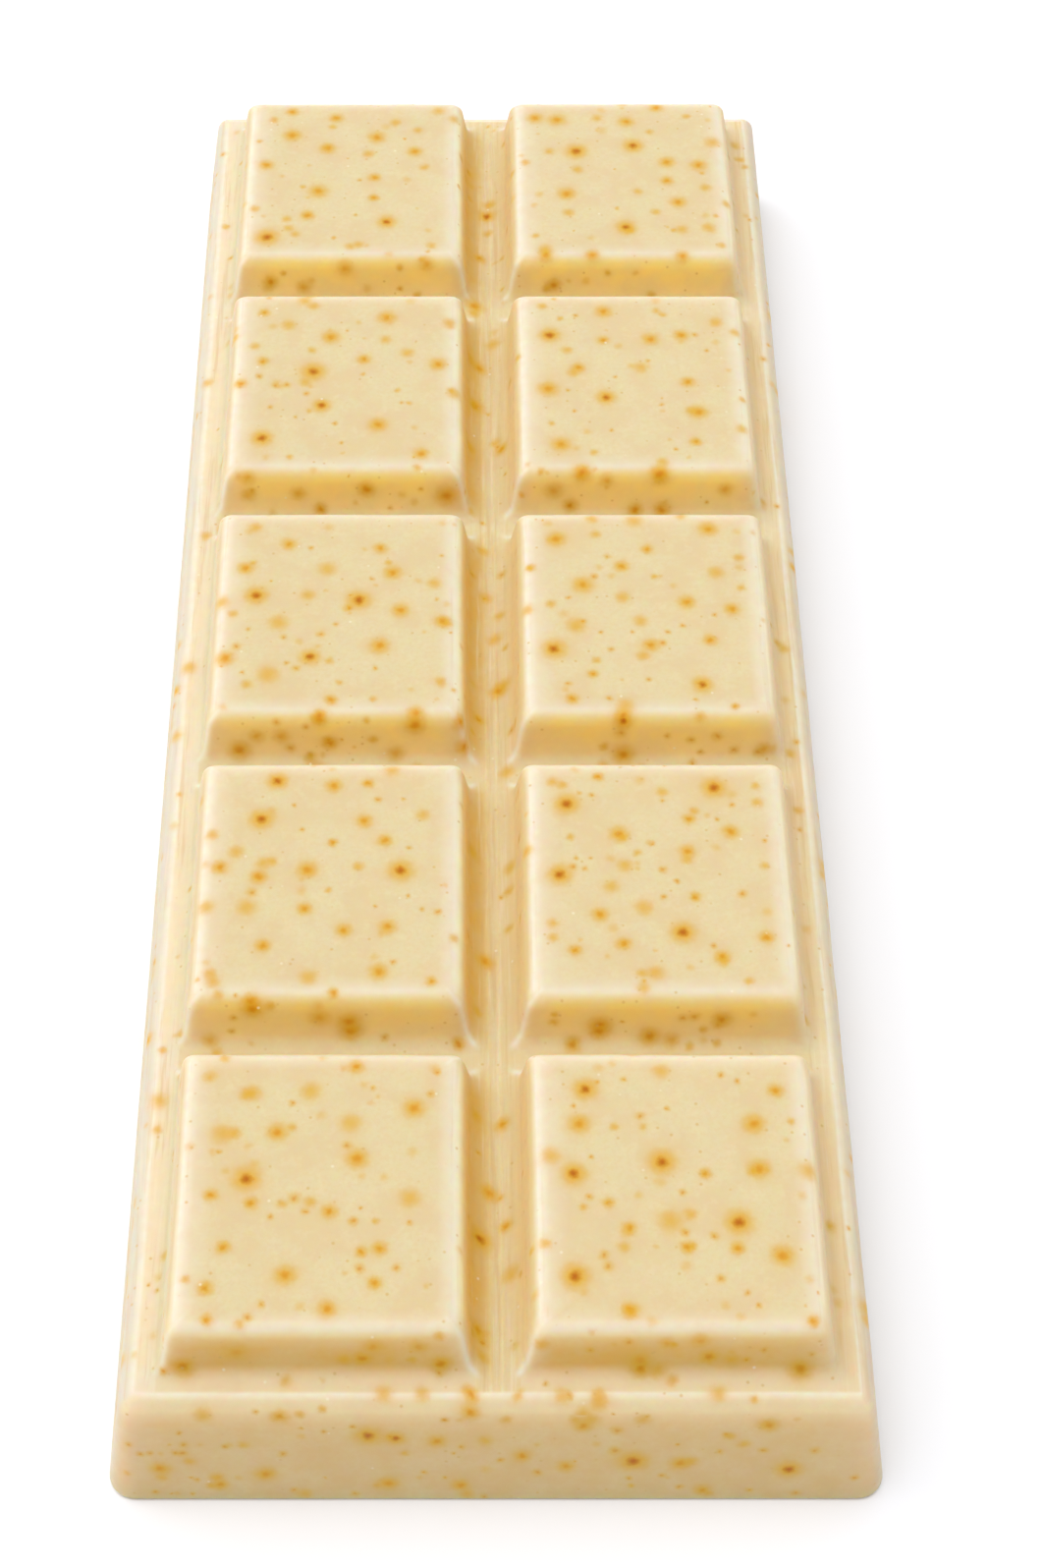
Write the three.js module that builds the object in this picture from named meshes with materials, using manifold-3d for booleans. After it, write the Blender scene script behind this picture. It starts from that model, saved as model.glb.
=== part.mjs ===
// A moulded bar of speckled white chocolate: a thick slab with drafted sides that carries
// two columns and five rows of break-off blocks. Millimetres, +Z up, the origin in the middle
// of the underside, the length along Y and the flat poured back on Z = 0.
import * as THREE from "three";
import { mergeVertices } from "three/addons/utils/BufferGeometryUtils.js";
import Module from "manifold-3d";

// How the blocks are laid out.
const COLUMNS = 2;
const ROWS = 5;

// One block: its top between the lines where the walls would meet it, its height over the slab,
// the draft of its walls, and how it is rounded at its top edge, at its foot and in plan.
const BLOCK_WIDTH = 18.45;
const BLOCK_LENGTH = 21.0;
const BLOCK_HEIGHT = 4.0;
const BLOCK_DRAFT = THREE.MathUtils.degToRad(10);
const BLOCK_TOP_EDGE = 1.1;
const BLOCK_FOOT_FILLET = 1.1;
const BLOCK_CORNER = 0.7;

// Gaps between neighbouring block tops: the long channel and the cross grooves.
const CHANNEL_GAP = 4.45;
const GROOVE_GAP = 4.0;

// The slab under the blocks, and the ledge it leaves round them.
const SLAB_HEIGHT = 10.2;
const SLAB_DRAFT = THREE.MathUtils.degToRad(8.5);
const SLAB_TOP_EDGE = 1.2;
const SLAB_BOTTOM_EDGE = 0.35;
const SLAB_CORNER = 1.4;
const LEDGE = 2.3;

// How far a block's root goes into the slab, so that the union has no faces lying on each other.
const ROOT_DEPTH = 1.0;

// Divisions of the arc at a plan corner and at a rounded edge. Each gives two facets.
const CORNER_STEPS = 3;
const EDGE_STEPS = 3;

const WHITE_CHOCOLATE = new THREE.MeshStandardMaterial({
  color: "#efdcb0",
  roughness: 0.42,
  metalness: 0,
});

// Every size below follows from the ones above.
const blockRun = BLOCK_HEIGHT * Math.tan(BLOCK_DRAFT);
const filletReach = BLOCK_FOOT_FILLET * Math.tan((Math.PI / 2 - BLOCK_DRAFT) / 2);
const slabRun = SLAB_HEIGHT * Math.tan(SLAB_DRAFT);
const columnPitch = BLOCK_WIDTH + CHANNEL_GAP;
const rowPitch = BLOCK_LENGTH + GROOVE_GAP;
const fieldWidth = (COLUMNS - 1) * columnPitch + BLOCK_WIDTH + 2 * blockRun;
const fieldLength = (ROWS - 1) * rowPitch + BLOCK_LENGTH + 2 * blockRun;
const slabWidth = fieldWidth + 2 * (LEDGE + slabRun);
const slabLength = fieldLength + 2 * (LEDGE + slabRun);

// The outline of a rounded rectangle round the origin, anticlockwise.
function roundedRectangle(width, length, radius) {
  const x = width / 2 - radius;
  const y = length / 2 - radius;
  const quarter = Math.PI / 2;
  const outline = new THREE.Shape();
  [[x, y], [-x, y], [-x, -y], [x, -y]].forEach(([cx, cy], turn) =>
    outline.absarc(cx, cy, radius, turn * quarter, (turn + 1) * quarter),
  );
  return outline.getPoints(CORNER_STEPS);
}

// The arc that rounds a drafted wall over into the flat top: x is the inset from the foot, y the height.
function roundOver(path, height, draft, radius) {
  const wallEnd = height - radius * (1 - Math.sin(draft));
  const inset = wallEnd * Math.tan(draft) + radius * Math.cos(draft);
  path.absarc(inset, height - radius, radius, Math.PI - draft, Math.PI / 2, true);
}

// The arc that rounds a drafted wall under into the flat underside.
function roundUnder(path, draft, radius) {
  const inset = radius * (Math.tan(draft) + 1 / Math.cos(draft));
  path.absarc(inset, radius, radius, -Math.PI / 2, -Math.PI - draft, true);
}

// A closed body whose plan is a rounded rectangle that shrinks by the profile's inset at each height.
function taperedBody(width, length, corner, profile) {
  const rings = profile.map((at) =>
    roundedRectangle(width - 2 * at.x, length - 2 * at.x, corner),
  );
  const around = rings[0].length;
  const position = rings.flatMap((ring, level) =>
    ring.flatMap((p) => [p.x, p.y, profile[level].y]),
  );
  const cap = THREE.ShapeUtils.triangulateShape(rings[0], []);
  const top = (rings.length - 1) * around;
  const index = cap.flatMap(([a, b, c]) => [c, b, a, top + a, top + b, top + c]);
  for (let level = 0; level < rings.length - 1; level++) {
    for (let step = 0; step < around; step++) {
      const next = (step + 1) % around;
      const low = level * around;
      const high = low + around;
      index.push(low + step, low + next, high + next);
      index.push(low + step, high + next, high + step);
    }
  }
  const body = new THREE.BufferGeometry();
  body.setAttribute("position", new THREE.Float32BufferAttribute(position, 3));
  body.setIndex(index);
  return body;
}

// The thick slab, rounded under its foot and over its top edge.
function slab() {
  const profile = new THREE.Path();
  roundUnder(profile, SLAB_DRAFT, SLAB_BOTTOM_EDGE);
  roundOver(profile, SLAB_HEIGHT, SLAB_DRAFT, SLAB_TOP_EDGE);
  return taperedBody(slabWidth, slabLength, SLAB_CORNER, profile.getPoints(EDGE_STEPS));
}

// One block in its place, flared at its foot by a hollow arc, with its root sunk into the slab.
function block(column, row) {
  const radius = BLOCK_FOOT_FILLET;
  const profile = new THREE.Path();
  profile.moveTo(-filletReach, -ROOT_DEPTH);
  profile.lineTo(-filletReach, 0);
  profile.absarc(-filletReach, radius, radius, -Math.PI / 2, -BLOCK_DRAFT, false);
  roundOver(profile, BLOCK_HEIGHT, BLOCK_DRAFT, BLOCK_TOP_EDGE);
  const body = taperedBody(
    BLOCK_WIDTH + 2 * blockRun,
    BLOCK_LENGTH + 2 * blockRun,
    BLOCK_CORNER,
    profile.getPoints(EDGE_STEPS),
  );
  const x = (column - (COLUMNS - 1) / 2) * columnPitch;
  const y = (row - (ROWS - 1) / 2) * rowPitch;
  return body.translate(x, y, SLAB_HEIGHT);
}

const wasm = await Module();
wasm.setup();

// A closed geometry as a solid that can be joined to others.
function toSolid(geometry) {
  const bare = geometry.clone();
  bare.deleteAttribute("normal");
  bare.deleteAttribute("uv");
  const merged = mergeVertices(bare);
  return new wasm.Manifold(
    new wasm.Mesh({
      numProp: 3,
      vertProperties: merged.attributes.position.array,
      triVerts: new Uint32Array(merged.index.array),
    }),
  );
}

// A solid back as a geometry, with flat-shaded normals.
function toGeometry(solid) {
  const mesh = solid.getMesh();
  const geometry = new THREE.BufferGeometry();
  geometry.setAttribute("position", new THREE.BufferAttribute(mesh.vertProperties, 3));
  geometry.setIndex(new THREE.BufferAttribute(mesh.triVerts, 1));
  geometry.computeVertexNormals();
  return geometry;
}

let moulded = toSolid(slab());
for (let row = 0; row < ROWS; row++) {
  for (let column = 0; column < COLUMNS; column++) {
    moulded = moulded.add(toSolid(block(column, row)));
  }
}

const bar = new THREE.Mesh(toGeometry(moulded), WHITE_CHOCOLATE);
bar.name = "chocolate_bar";

const part = new THREE.Group();
part.add(bar);

export default part;
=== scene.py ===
"""A moulded bar of speckled white chocolate, dressed for the library's render."""
import math

import bpy
import numpy as np
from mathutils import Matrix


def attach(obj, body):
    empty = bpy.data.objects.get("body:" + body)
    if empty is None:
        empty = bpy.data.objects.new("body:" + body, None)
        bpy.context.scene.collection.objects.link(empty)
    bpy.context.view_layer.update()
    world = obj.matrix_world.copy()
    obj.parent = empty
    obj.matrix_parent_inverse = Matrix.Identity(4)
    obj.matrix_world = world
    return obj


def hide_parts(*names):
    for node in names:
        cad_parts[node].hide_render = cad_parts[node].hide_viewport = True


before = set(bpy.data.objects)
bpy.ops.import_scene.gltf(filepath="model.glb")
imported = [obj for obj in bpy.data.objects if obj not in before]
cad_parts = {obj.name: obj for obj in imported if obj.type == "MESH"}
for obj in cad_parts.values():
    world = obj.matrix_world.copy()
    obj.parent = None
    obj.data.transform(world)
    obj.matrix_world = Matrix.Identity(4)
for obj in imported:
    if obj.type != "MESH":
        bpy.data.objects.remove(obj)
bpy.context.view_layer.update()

MM = 0.001
SPECK_SEED = 20
RNG = np.random.default_rng(SPECK_SEED)

# ------------------------------------------------------------------ the bar's sizes, in mm
COLUMNS = 2
ROWS = 5
BLOCK_WIDTH = 18.45  # across the block's top, before its edges are rounded
BLOCK_LENGTH = 21.0
BLOCK_HEIGHT = 4.0
BLOCK_DRAFT = math.radians(10)
BLOCK_TOP_EDGE = 1.1  # radius
BLOCK_CORNER = 0.7  # radius
BLOCK_CROWN = 0.05  # how far the top falls towards its edges
CROWN_REACH = 2.4  # how far in from the edge the fall begins
FOOT_FILLET = 1.1  # radius
CHANNEL_GAP = 4.45  # between the two columns, at the height of the tops
GROOVE_GAP = 4.0  # between two rows, at the height of the tops
SLAB_HEIGHT = 10.2
SLAB_DRAFT = math.radians(8.5)
SLAB_TOP_EDGE = 1.2  # radius
SLAB_BOTTOM_EDGE = 0.35  # radius
LEDGE = 2.3  # from the blocks' feet to the slab's edge
CORNER_GROWTH = 0.7  # radius of the slab's upright corners, per mm of a ring's outset

block_run = BLOCK_HEIGHT * math.tan(BLOCK_DRAFT)
column_pitch = BLOCK_WIDTH + CHANNEL_GAP
row_pitch = BLOCK_LENGTH + GROOVE_GAP
foot_x = BLOCK_WIDTH / 2 + block_run
foot_y = BLOCK_LENGTH / 2 + block_run
field_x = (COLUMNS - 1) * column_pitch / 2 + foot_x
field_y = (ROWS - 1) * row_pitch / 2 + foot_y
column_centres = np.array([(c - (COLUMNS - 1) / 2) * column_pitch for c in range(COLUMNS)])
row_centres = np.array([(r - (ROWS - 1) / 2) * row_pitch for r in range(ROWS)])


def tangent(radius, draft):
    """How far from the corner of a flat and a drafted wall a rounding touches each."""
    return radius * math.tan((math.pi / 2 - draft) / 2)


# ------------------------------------------------------------------ soft noise
LATTICE_SIZE = 61
LATTICE_SHIFT = 200.5  # keeps every place on the lattice above zero


def lattice_noise(places, wavelength, seed):
    """Smooth noise in -1..1 at places (n, 3), from seeded values on a cubic lattice."""
    lattice = np.random.default_rng(seed).uniform(-1, 1, (LATTICE_SIZE,) * 3)
    place = np.asarray(places) / wavelength + LATTICE_SHIFT
    cell = np.floor(place).astype(int)
    part = place - cell
    part = part * part * (3 - 2 * part)
    result = np.zeros(len(place))
    for corner in np.ndindex(2, 2, 2):
        weight = np.prod(np.where(corner, part, 1 - part), axis=1)
        at = (cell + corner) % LATTICE_SIZE
        result += weight * lattice[at[:, 0], at[:, 1], at[:, 2]]
    return result


# ------------------------------------------------------------------ one block's wall
fillet_run = tangent(FOOT_FILLET, BLOCK_DRAFT)
fillet_inset = fillet_run * math.sin(BLOCK_DRAFT)
wall_end = BLOCK_HEIGHT - BLOCK_TOP_EDGE * (1 - math.sin(BLOCK_DRAFT))
wall_end_inset = wall_end * math.tan(BLOCK_DRAFT)
brow_inset = wall_end_inset + BLOCK_TOP_EDGE * math.cos(BLOCK_DRAFT)


def block_profile(inset):
    """Height over the slab at an inset from the nominal foot line."""
    foot = FOOT_FILLET - np.sqrt(
        np.maximum(FOOT_FILLET**2 - np.clip(inset + fillet_run, 0, None) ** 2, 0))
    wall = inset / math.tan(BLOCK_DRAFT)
    brow = BLOCK_HEIGHT - BLOCK_TOP_EDGE + np.sqrt(
        np.maximum(BLOCK_TOP_EDGE**2 - np.clip(brow_inset - inset, 0, None) ** 2, 0))
    brow = brow - BLOCK_CROWN * np.clip(1 - (inset - brow_inset) / CROWN_REACH, 0, 1) ** 2
    return np.select(
        [inset < -fillet_run, inset < fillet_inset, inset < wall_end_inset],
        [0.0, foot, wall], brow)


# grid lines along the foot's fillet, the wall and the brow, and two more inside it
FOOT_LINES, WALL_LINES, BROW_LINES = 8, 4, 7
RIM_LINES = (0.3, 0.65)


def wall_lines():
    """Insets of the grid lines that follow one block's wall, from the slab to its top."""
    angles = np.linspace(0, math.pi / 2 - BLOCK_DRAFT, FOOT_LINES)
    foot = -fillet_run + FOOT_FILLET * np.sin(angles)
    wall = np.linspace(fillet_inset, wall_end_inset, WALL_LINES)[1:-1]
    turn = np.linspace(math.pi - BLOCK_DRAFT, math.pi / 2, BROW_LINES)
    brow = brow_inset + BLOCK_TOP_EDGE * np.cos(turn)
    rim = brow_inset + np.array(RIM_LINES)
    return np.concatenate([foot, wall, brow, rim])


def evenly(start, end, step):
    """Inner lines between two positions, about a step apart."""
    count = max(1, round(abs(end - start) / step))
    return np.linspace(start, end, count + 1)[1:-1]


# steps between grid lines, in mm
TOP_STEP = 0.47
LEDGE_STEP = 0.14
CHANNEL_STEP = 0.11
GROOVE_STEP = 0.3


def grid_lines(centres, half_foot, outer, gap_step):
    """All grid lines across the blocks with these centres, out to the patch's edge."""
    insets = wall_lines()
    lines = [-outer, outer]
    lows = [centre - half_foot + insets for centre in centres]
    highs = [centre + half_foot - insets for centre in centres]
    for low, high in zip(lows, highs):
        lines.extend([*low, *high, *evenly(low[-1], high[-1], TOP_STEP)])
    lines.extend(evenly(-outer, lows[0][0], LEDGE_STEP))
    lines.extend(evenly(highs[-1][0], outer, LEDGE_STEP))
    for low, high in zip(lows[1:], highs):
        lines.extend(evenly(high[0], low[0], gap_step))
    return np.array(sorted(lines))


# the patch is the bar's upper surface, out to where the slab's top edge begins to round
slab_tangent = tangent(SLAB_TOP_EDGE, SLAB_DRAFT)
patch_x = field_x + LEDGE - slab_tangent
patch_y = field_y + LEDGE - slab_tangent
lines_x = grid_lines(column_centres, foot_x, patch_x, CHANNEL_STEP)
lines_y = grid_lines(row_centres, foot_y, patch_y, GROOVE_STEP)


def from_nearest(values, centres):
    """Offset of each value from the nearest centre."""
    offsets = values[..., None] - centres
    nearest = np.argmin(np.abs(offsets), axis=-1)
    return np.take_along_axis(offsets, nearest[..., None], axis=-1)[..., 0]


grid_x, grid_y = np.meshgrid(lines_x, lines_y)
block_x = from_nearest(grid_x, column_centres)
block_y = from_nearest(grid_y, row_centres)
from_side, from_end = foot_x - np.abs(block_x), foot_y - np.abs(block_y)
skew = np.abs(from_side - from_end)
corner_arc = (from_side + from_end) / 2 - BLOCK_CORNER + np.sqrt(
    np.maximum(2 * BLOCK_CORNER**2 - skew**2, 0)) / 2
inset = np.where(skew < BLOCK_CORNER, corner_arc, np.minimum(from_side, from_end))
rise = block_profile(inset)

# fine lengthwise lines that the mould leaves in the channel: place, half-width, height
MOULD_LINES = ((-0.42, 0.09, 0.05), (0.33, 0.08, 0.06), (0.72, 0.1, 0.03))
MOULD_LINES_FADE = 0.3  # the height over the slab at which they have faded out
on_floor = np.clip(1 - rise / MOULD_LINES_FADE, 0, 1)
for place, half_width, height in MOULD_LINES:
    rise = rise + on_floor * height * np.exp(-(((grid_x - place) / half_width) ** 2))

points = [np.stack([grid_x, grid_y, SLAB_HEIGHT + rise], axis=-1).reshape(-1, 3)]

# Painted shade on each kind of wall, lighter where painted light falls near some feet and brows: the inset
# from the foot line, the tint's share and its colour.
CHANNEL_LEFT_TINT = (
    (-1.5, 0.0, (0.70, 0.45, 0.10)), (-1.1, 0.4, (0.70, 0.45, 0.10)), (-0.8, 0.8, (0.70, 0.44, 0.10)),
    (-0.4, 0.95, (0.71, 0.43, 0.09)), (0.0, 1.0, (0.75, 0.44, 0.08)), (0.3, 0.95, (0.83, 0.50, 0.09)),
    (0.5, 0.8, (0.92, 0.62, 0.18)), (0.62, 0.7, (0.94, 0.76, 0.34)), (0.75, 0.8, (0.92, 0.84, 0.50)),
    (0.95, 0.9, (0.88, 0.85, 0.64)), (1.15, 0.5, (0.86, 0.83, 0.64)), (1.35, 0.0, (0.86, 0.83, 0.64)))
CHANNEL_RIGHT_TINT = (
    (-1.5, 0.0, (0.76, 0.57, 0.30)), (-0.9, 0.3, (0.76, 0.56, 0.28)), (-0.3, 0.65, (0.76, 0.56, 0.27)),
    (0.1, 0.75, (0.84, 0.62, 0.29)), (0.35, 0.95, (0.84, 0.63, 0.29)), (0.5, 1.0, (0.76, 0.58, 0.28)),
    (0.75, 1.0, (0.66, 0.54, 0.28)), (0.95, 0.4, (0.66, 0.54, 0.28)), (1.1, 0.0, (0.66, 0.54, 0.28)))
OUTER_LEFT_TINT = (
    (-1.3, 0.1, (0.88, 0.62, 0.28)), (-0.6, 0.3, (0.88, 0.62, 0.28)), (-0.3, 0.3, (0.88, 0.62, 0.28)),
    (0.0, 0.3, (0.78, 0.66, 0.42)), (0.3, 0.5, (0.76, 0.63, 0.42)), (0.45, 0.8, (0.70, 0.57, 0.36)),
    (0.6, 1.0, (0.67, 0.53, 0.32)), (0.78, 1.0, (0.62, 0.49, 0.29)), (0.95, 0.2, (0.64, 0.54, 0.34)),
    (1.1, 0.0, (0.64, 0.54, 0.34)))
OUTER_RIGHT_TINT = (
    (-1.3, 0.1, (0.84, 0.64, 0.34)), (-0.8, 0.5, (0.82, 0.59, 0.28)), (-0.4, 0.7, (0.82, 0.55, 0.24)),
    (-0.15, 0.6, (0.88, 0.62, 0.32)), (0.05, 0.6, (0.94, 0.69, 0.39)), (0.45, 0.6, (0.94, 0.69, 0.37)),
    (0.6, 0.6, (0.84, 0.63, 0.34)), (0.75, 0.7, (0.80, 0.68, 0.44)), (0.92, 0.7, (0.90, 0.84, 0.64)),
    (1.2, 0.2, (0.84, 0.80, 0.60)), (1.5, 0.0, (0.84, 0.80, 0.60)))
FRONT_TINT = (
    (-1.3, 0.15, (0.88, 0.60, 0.28)), (-0.4, 0.4, (0.94, 0.64, 0.32)), (-0.1, 0.5, (0.92, 0.56, 0.22)),
    (0.05, 0.7, (0.78, 0.46, 0.10)), (0.2, 0.95, (0.70, 0.405, 0.07)), (0.45, 0.85, (0.72, 0.43, 0.08)),
    (0.6, 0.5, (0.76, 0.52, 0.14)), (0.72, 0.5, (0.80, 0.66, 0.30)), (0.85, 0.3, (0.80, 0.72, 0.45)),
    (1.0, 0.0, (0.80, 0.72, 0.45)))
GROOVE_TINT = (
    (-1.3, 0.25, (0.82, 0.58, 0.26)), (-0.6, 0.3, (0.82, 0.60, 0.28)), (-0.2, 0.3, (0.96, 0.76, 0.44)),
    (0.0, 0.55, (0.90, 0.68, 0.34)), (0.15, 0.7, (0.88, 0.66, 0.30)), (0.3, 0.8, (0.84, 0.62, 0.22)),
    (0.45, 0.9, (0.84, 0.63, 0.18)), (0.6, 0.9, (0.82, 0.61, 0.16)), (0.75, 0.8, (0.78, 0.59, 0.15)),
    (0.95, 0.5, (0.78, 0.60, 0.16)), (1.15, 0.2, (0.78, 0.60, 0.16)), (1.35, 0.0, (0.78, 0.60, 0.16)))
# Painted highlight on the turn into the top: insets from the foot line and shares.
HIGHLIGHT_LEFT_AT = ([0.8, 0.95, 1.15, 1.4, 1.9, 3.2], [0.0, 0.6, 0.95, 0.75, 0.35, 0.0])
HIGHLIGHT_RIGHT_AT = ([0.85, 1.1, 1.4, 2.4], [0.0, 0.7, 0.6, 0.0])
HIGHLIGHT_FRONT_AT = ([0.65, 0.8, 0.95, 1.2, 1.6, 2.2], [0.0, 0.4, 0.7, 0.7, 0.3, 0.0])
HIGHLIGHT_GROOVE_AT = ([1.0, 1.3, 1.6, 2.1, 2.8], [0.0, 0.35, 0.6, 0.25, 0.0])
HIGHLIGHT_BACK_AT = ([0.7, 1.0, 1.3, 2.2], [0.0, 0.7, 0.5, 0.0])
# At a block's upright corners the painted shade fades and a painted highlight runs up the ridge. Reaches
# are differences between the insets from the block's side and from its end.
CORNER_BLEND = 0.8
CORNER_LOSS = 0.8
CORNER_REACH = 1.3
RIDGE_REACH = 0.35
RIDGE_FOOT = 0.15  # the height at which the ridge is there in full
RIDGE_HIGHLIGHT, RIDGE_HIGHLIGHT_OUTER_RIGHT = 0.8, 0.15
# The painted shade of the blocks' far walls ends below the brow, and the last row's is faint.
FAR_WALL_TOP, FAR_WALL_FADE = 0.95, 0.2
LAST_WALL_SHARE = 0.35
# The painted shade of the blocks' ends grows lighter towards the bar's far end, red less than green and
# blue.
LIGHTER_AT_FAR_END = 0.14
LIGHTER_CHANNELS = (1.0, 1.4, 1.4)
LIGHTEST = 0.97
# Painted light on the slab's flat top round the blocks, and how streaked it is.
FLAT_FADE = 0.5
LEDGE_PAINTED_LIGHT = {"channel": 0.0, "left": 0.6, "right": 0.2, "ends": 0.28}
GROOVE_PAINTED_LIGHT = 0.08
FLAT_STREAKS = 0.7
WALL_STREAKS = 0.3

facing_end = np.clip(0.5 + (from_side - from_end) / CORNER_BLEND, 0, 1)
at_corner = np.exp(-((skew / CORNER_REACH) ** 2))
outer_x = np.sign(block_x) == np.sign(grid_x)
in_front = grid_y < row_centres[0]
in_channel = np.abs(grid_x) < column_pitch / 2 - foot_x
on_flat = np.clip(1 - rise / FLAT_FADE, 0, 1)


def blended(on_sides, on_ends):
    """Values that turn at a block's corners from those of its sides to those of its ends."""
    share = facing_end if np.ndim(on_ends) < 3 else facing_end[..., None]
    return on_sides + (on_ends - on_sides) * share


def tinted(table):
    """Share and colour of a tint at every point of the grid."""
    insets, shares, colours = zip(*table)
    channels = [np.interp(inset, insets, channel) for channel in zip(*colours)]
    return np.stack([np.interp(inset, insets, shares), *channels], axis=-1)


# each wall's painted shade and light, blended at the corners into that of the ends
side_kinds = [(block_x < 0) & outer_x, block_x < 0, outer_x]
side_tint = np.select([kind[..., None] for kind in side_kinds],
                      [tinted(OUTER_LEFT_TINT), tinted(CHANNEL_RIGHT_TINT), tinted(OUTER_RIGHT_TINT)],
                      tinted(CHANNEL_LEFT_TINT))
end_tint = np.where(in_front[..., None], tinted(FRONT_TINT), tinted(GROOVE_TINT))
far_wall = np.clip((FAR_WALL_TOP - inset) / FAR_WALL_FADE, 0, 1)
end_tint[..., 0] *= np.where(block_y > 0, far_wall, 1.0)
end_tint[..., 0] *= np.where(grid_y > row_centres[-1], LAST_WALL_SHARE, 1.0)
towards_far_end = np.clip(0.5 + grid_y / (2 * field_y), 0, 1)[..., None]
lighter = 1 + LIGHTER_AT_FAR_END * towards_far_end * LIGHTER_CHANNELS
end_tint[..., 1:] = np.minimum(end_tint[..., 1:] * lighter, LIGHTEST)
tint = blended(side_tint, end_tint)

# painted highlights up the corner ridges and along the brows, and painted light on the flat ledges
below_brow = inset < brow_inset
ridge_highlight = np.exp(-((skew / RIDGE_REACH) ** 2)) * np.clip(rise / RIDGE_FOOT, 0, 1) * below_brow
ridge_highlight = ridge_highlight * np.where((block_x > 0) & outer_x, RIDGE_HIGHLIGHT_OUTER_RIGHT, RIDGE_HIGHLIGHT)
painted_light_tint_share = tint[..., 0] * (1 - CORNER_LOSS * at_corner) * (1 - ridge_highlight)

side_highlight = np.where(block_x < 0, np.interp(inset, *HIGHLIGHT_LEFT_AT), np.interp(inset, *HIGHLIGHT_RIGHT_AT))
end_highlight = np.select([in_front, block_y < 0],
                     [np.interp(inset, *HIGHLIGHT_FRONT_AT), np.interp(inset, *HIGHLIGHT_GROOVE_AT)],
                     np.interp(inset, *HIGHLIGHT_BACK_AT))
painted_highlight_share = np.maximum(blended(side_highlight, end_highlight), ridge_highlight)
ledge_kinds = [in_channel, grid_x < -field_x, grid_x > field_x, np.abs(grid_y) > field_y]
ledge_painted_light = np.select(ledge_kinds, list(LEDGE_PAINTED_LIGHT.values()), GROOVE_PAINTED_LIGHT)
painted_highlight_share = np.maximum(painted_highlight_share, on_flat * ledge_painted_light)

streak_share = on_flat * np.where(in_channel | (np.abs(grid_x) > field_x), FLAT_STREAKS, 0.0)
streak_share = np.maximum(streak_share, WALL_STREAKS * (1 - facing_end) * below_brow)

# shares of painted shade and light, painted highlight and streaks, and the painted tint's colour, for
# every grid point
painted_light_tint, painted_highlight, streaked = [painted_light_tint_share.ravel()], [painted_highlight_share.ravel()], [streak_share.ravel()]
painted_light_tone = [tint[..., 1:].reshape(-1, 3)]

index = np.arange(grid_x.size).reshape(grid_x.shape)
a, b, c, d = index[:-1, :-1], index[:-1, 1:], index[1:, 1:], index[1:, :-1]
along = np.stack([a, b, c, d], axis=-1).reshape(-1, 4)
across = np.stack([b, c, d, a], axis=-1).reshape(-1, 4)
same_hand = (block_x * block_y)[:-1, :-1] >= 0
quads = [np.where(same_hand.reshape(-1, 1), along, across)]

# ------------------------------------------------------------------ the slab's side, ring by ring
perimeter = np.concatenate([index[0, :-1], index[:-1, -1], index[-1, :0:-1], index[:0:-1, 0]])
edge = points[0][perimeter]
CORNER_SPREAD = 2.6  # how far from a corner of the patch the points spread out to go round it
BROW_RINGS, WALL_RINGS, FOOT_RINGS = 8, 9, 6
BACK_MARGIN = 0.4  # from the bottom edge's rounding to the first ring on the flat back
BACK_RINGS = 13
BACK_REACH = 0.97  # the last ring's share of the way to the middle


def ring(outset):
    """The perimeter's points moved out to a rounded rectangle, one to one."""
    corner = CORNER_GROWTH * outset
    x, y = edge[:, 0], edge[:, 1]
    on_side = np.isclose(np.abs(x), patch_x)
    run = np.where(on_side, patch_y - np.abs(y), patch_x - np.abs(x))
    half_arc = corner * math.pi / 4
    length = outset - corner + CORNER_SPREAD + half_arc
    path = np.where(run < CORNER_SPREAD, run / CORNER_SPREAD * length, run - CORNER_SPREAD + length)
    turn = np.minimum(path, half_arc) / corner
    beyond = np.maximum(path - half_arc, 0)
    cx, cy = patch_x + outset - corner, patch_y + outset - corner
    angle = math.pi / 4 + np.where(on_side, -turn, turn)
    px = cx + corner * np.cos(angle) - np.where(on_side, 0, beyond)
    py = cy + corner * np.sin(angle) - np.where(on_side, beyond, 0)
    return px * np.sign(x), py * np.sign(y)


def slab_profile():
    """Outset and height of each ring, from the slab's flat top down to its underside."""
    turn = np.linspace(0, math.pi / 2 - SLAB_DRAFT, BROW_RINGS + 1)[1:]
    brow_out = SLAB_TOP_EDGE * np.sin(turn)
    brow_up = SLAB_HEIGHT - SLAB_TOP_EDGE * (1 - np.cos(turn))
    slab_foot = slab_tangent + SLAB_HEIGHT * math.tan(SLAB_DRAFT)
    centre = slab_foot - SLAB_BOTTOM_EDGE * (math.tan(SLAB_DRAFT) + 1 / math.cos(SLAB_DRAFT))
    low = np.linspace(-SLAB_DRAFT, math.pi / 2, FOOT_RINGS)
    low_out = centre + SLAB_BOTTOM_EDGE * np.cos(low)
    low_up = SLAB_BOTTOM_EDGE * (1 - np.sin(low))
    share = np.linspace(0, 1, WALL_RINGS + 2)[1:-1]
    wall_out = brow_out[-1] + (low_out[0] - brow_out[-1]) * share
    wall_up = brow_up[-1] + (low_up[0] - brow_up[-1]) * share
    out = np.concatenate([brow_out, wall_out, low_out, [centre - BACK_MARGIN]])
    up = np.concatenate([brow_up, wall_up, low_up, [0.0]])
    return list(zip(out, up))
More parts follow.
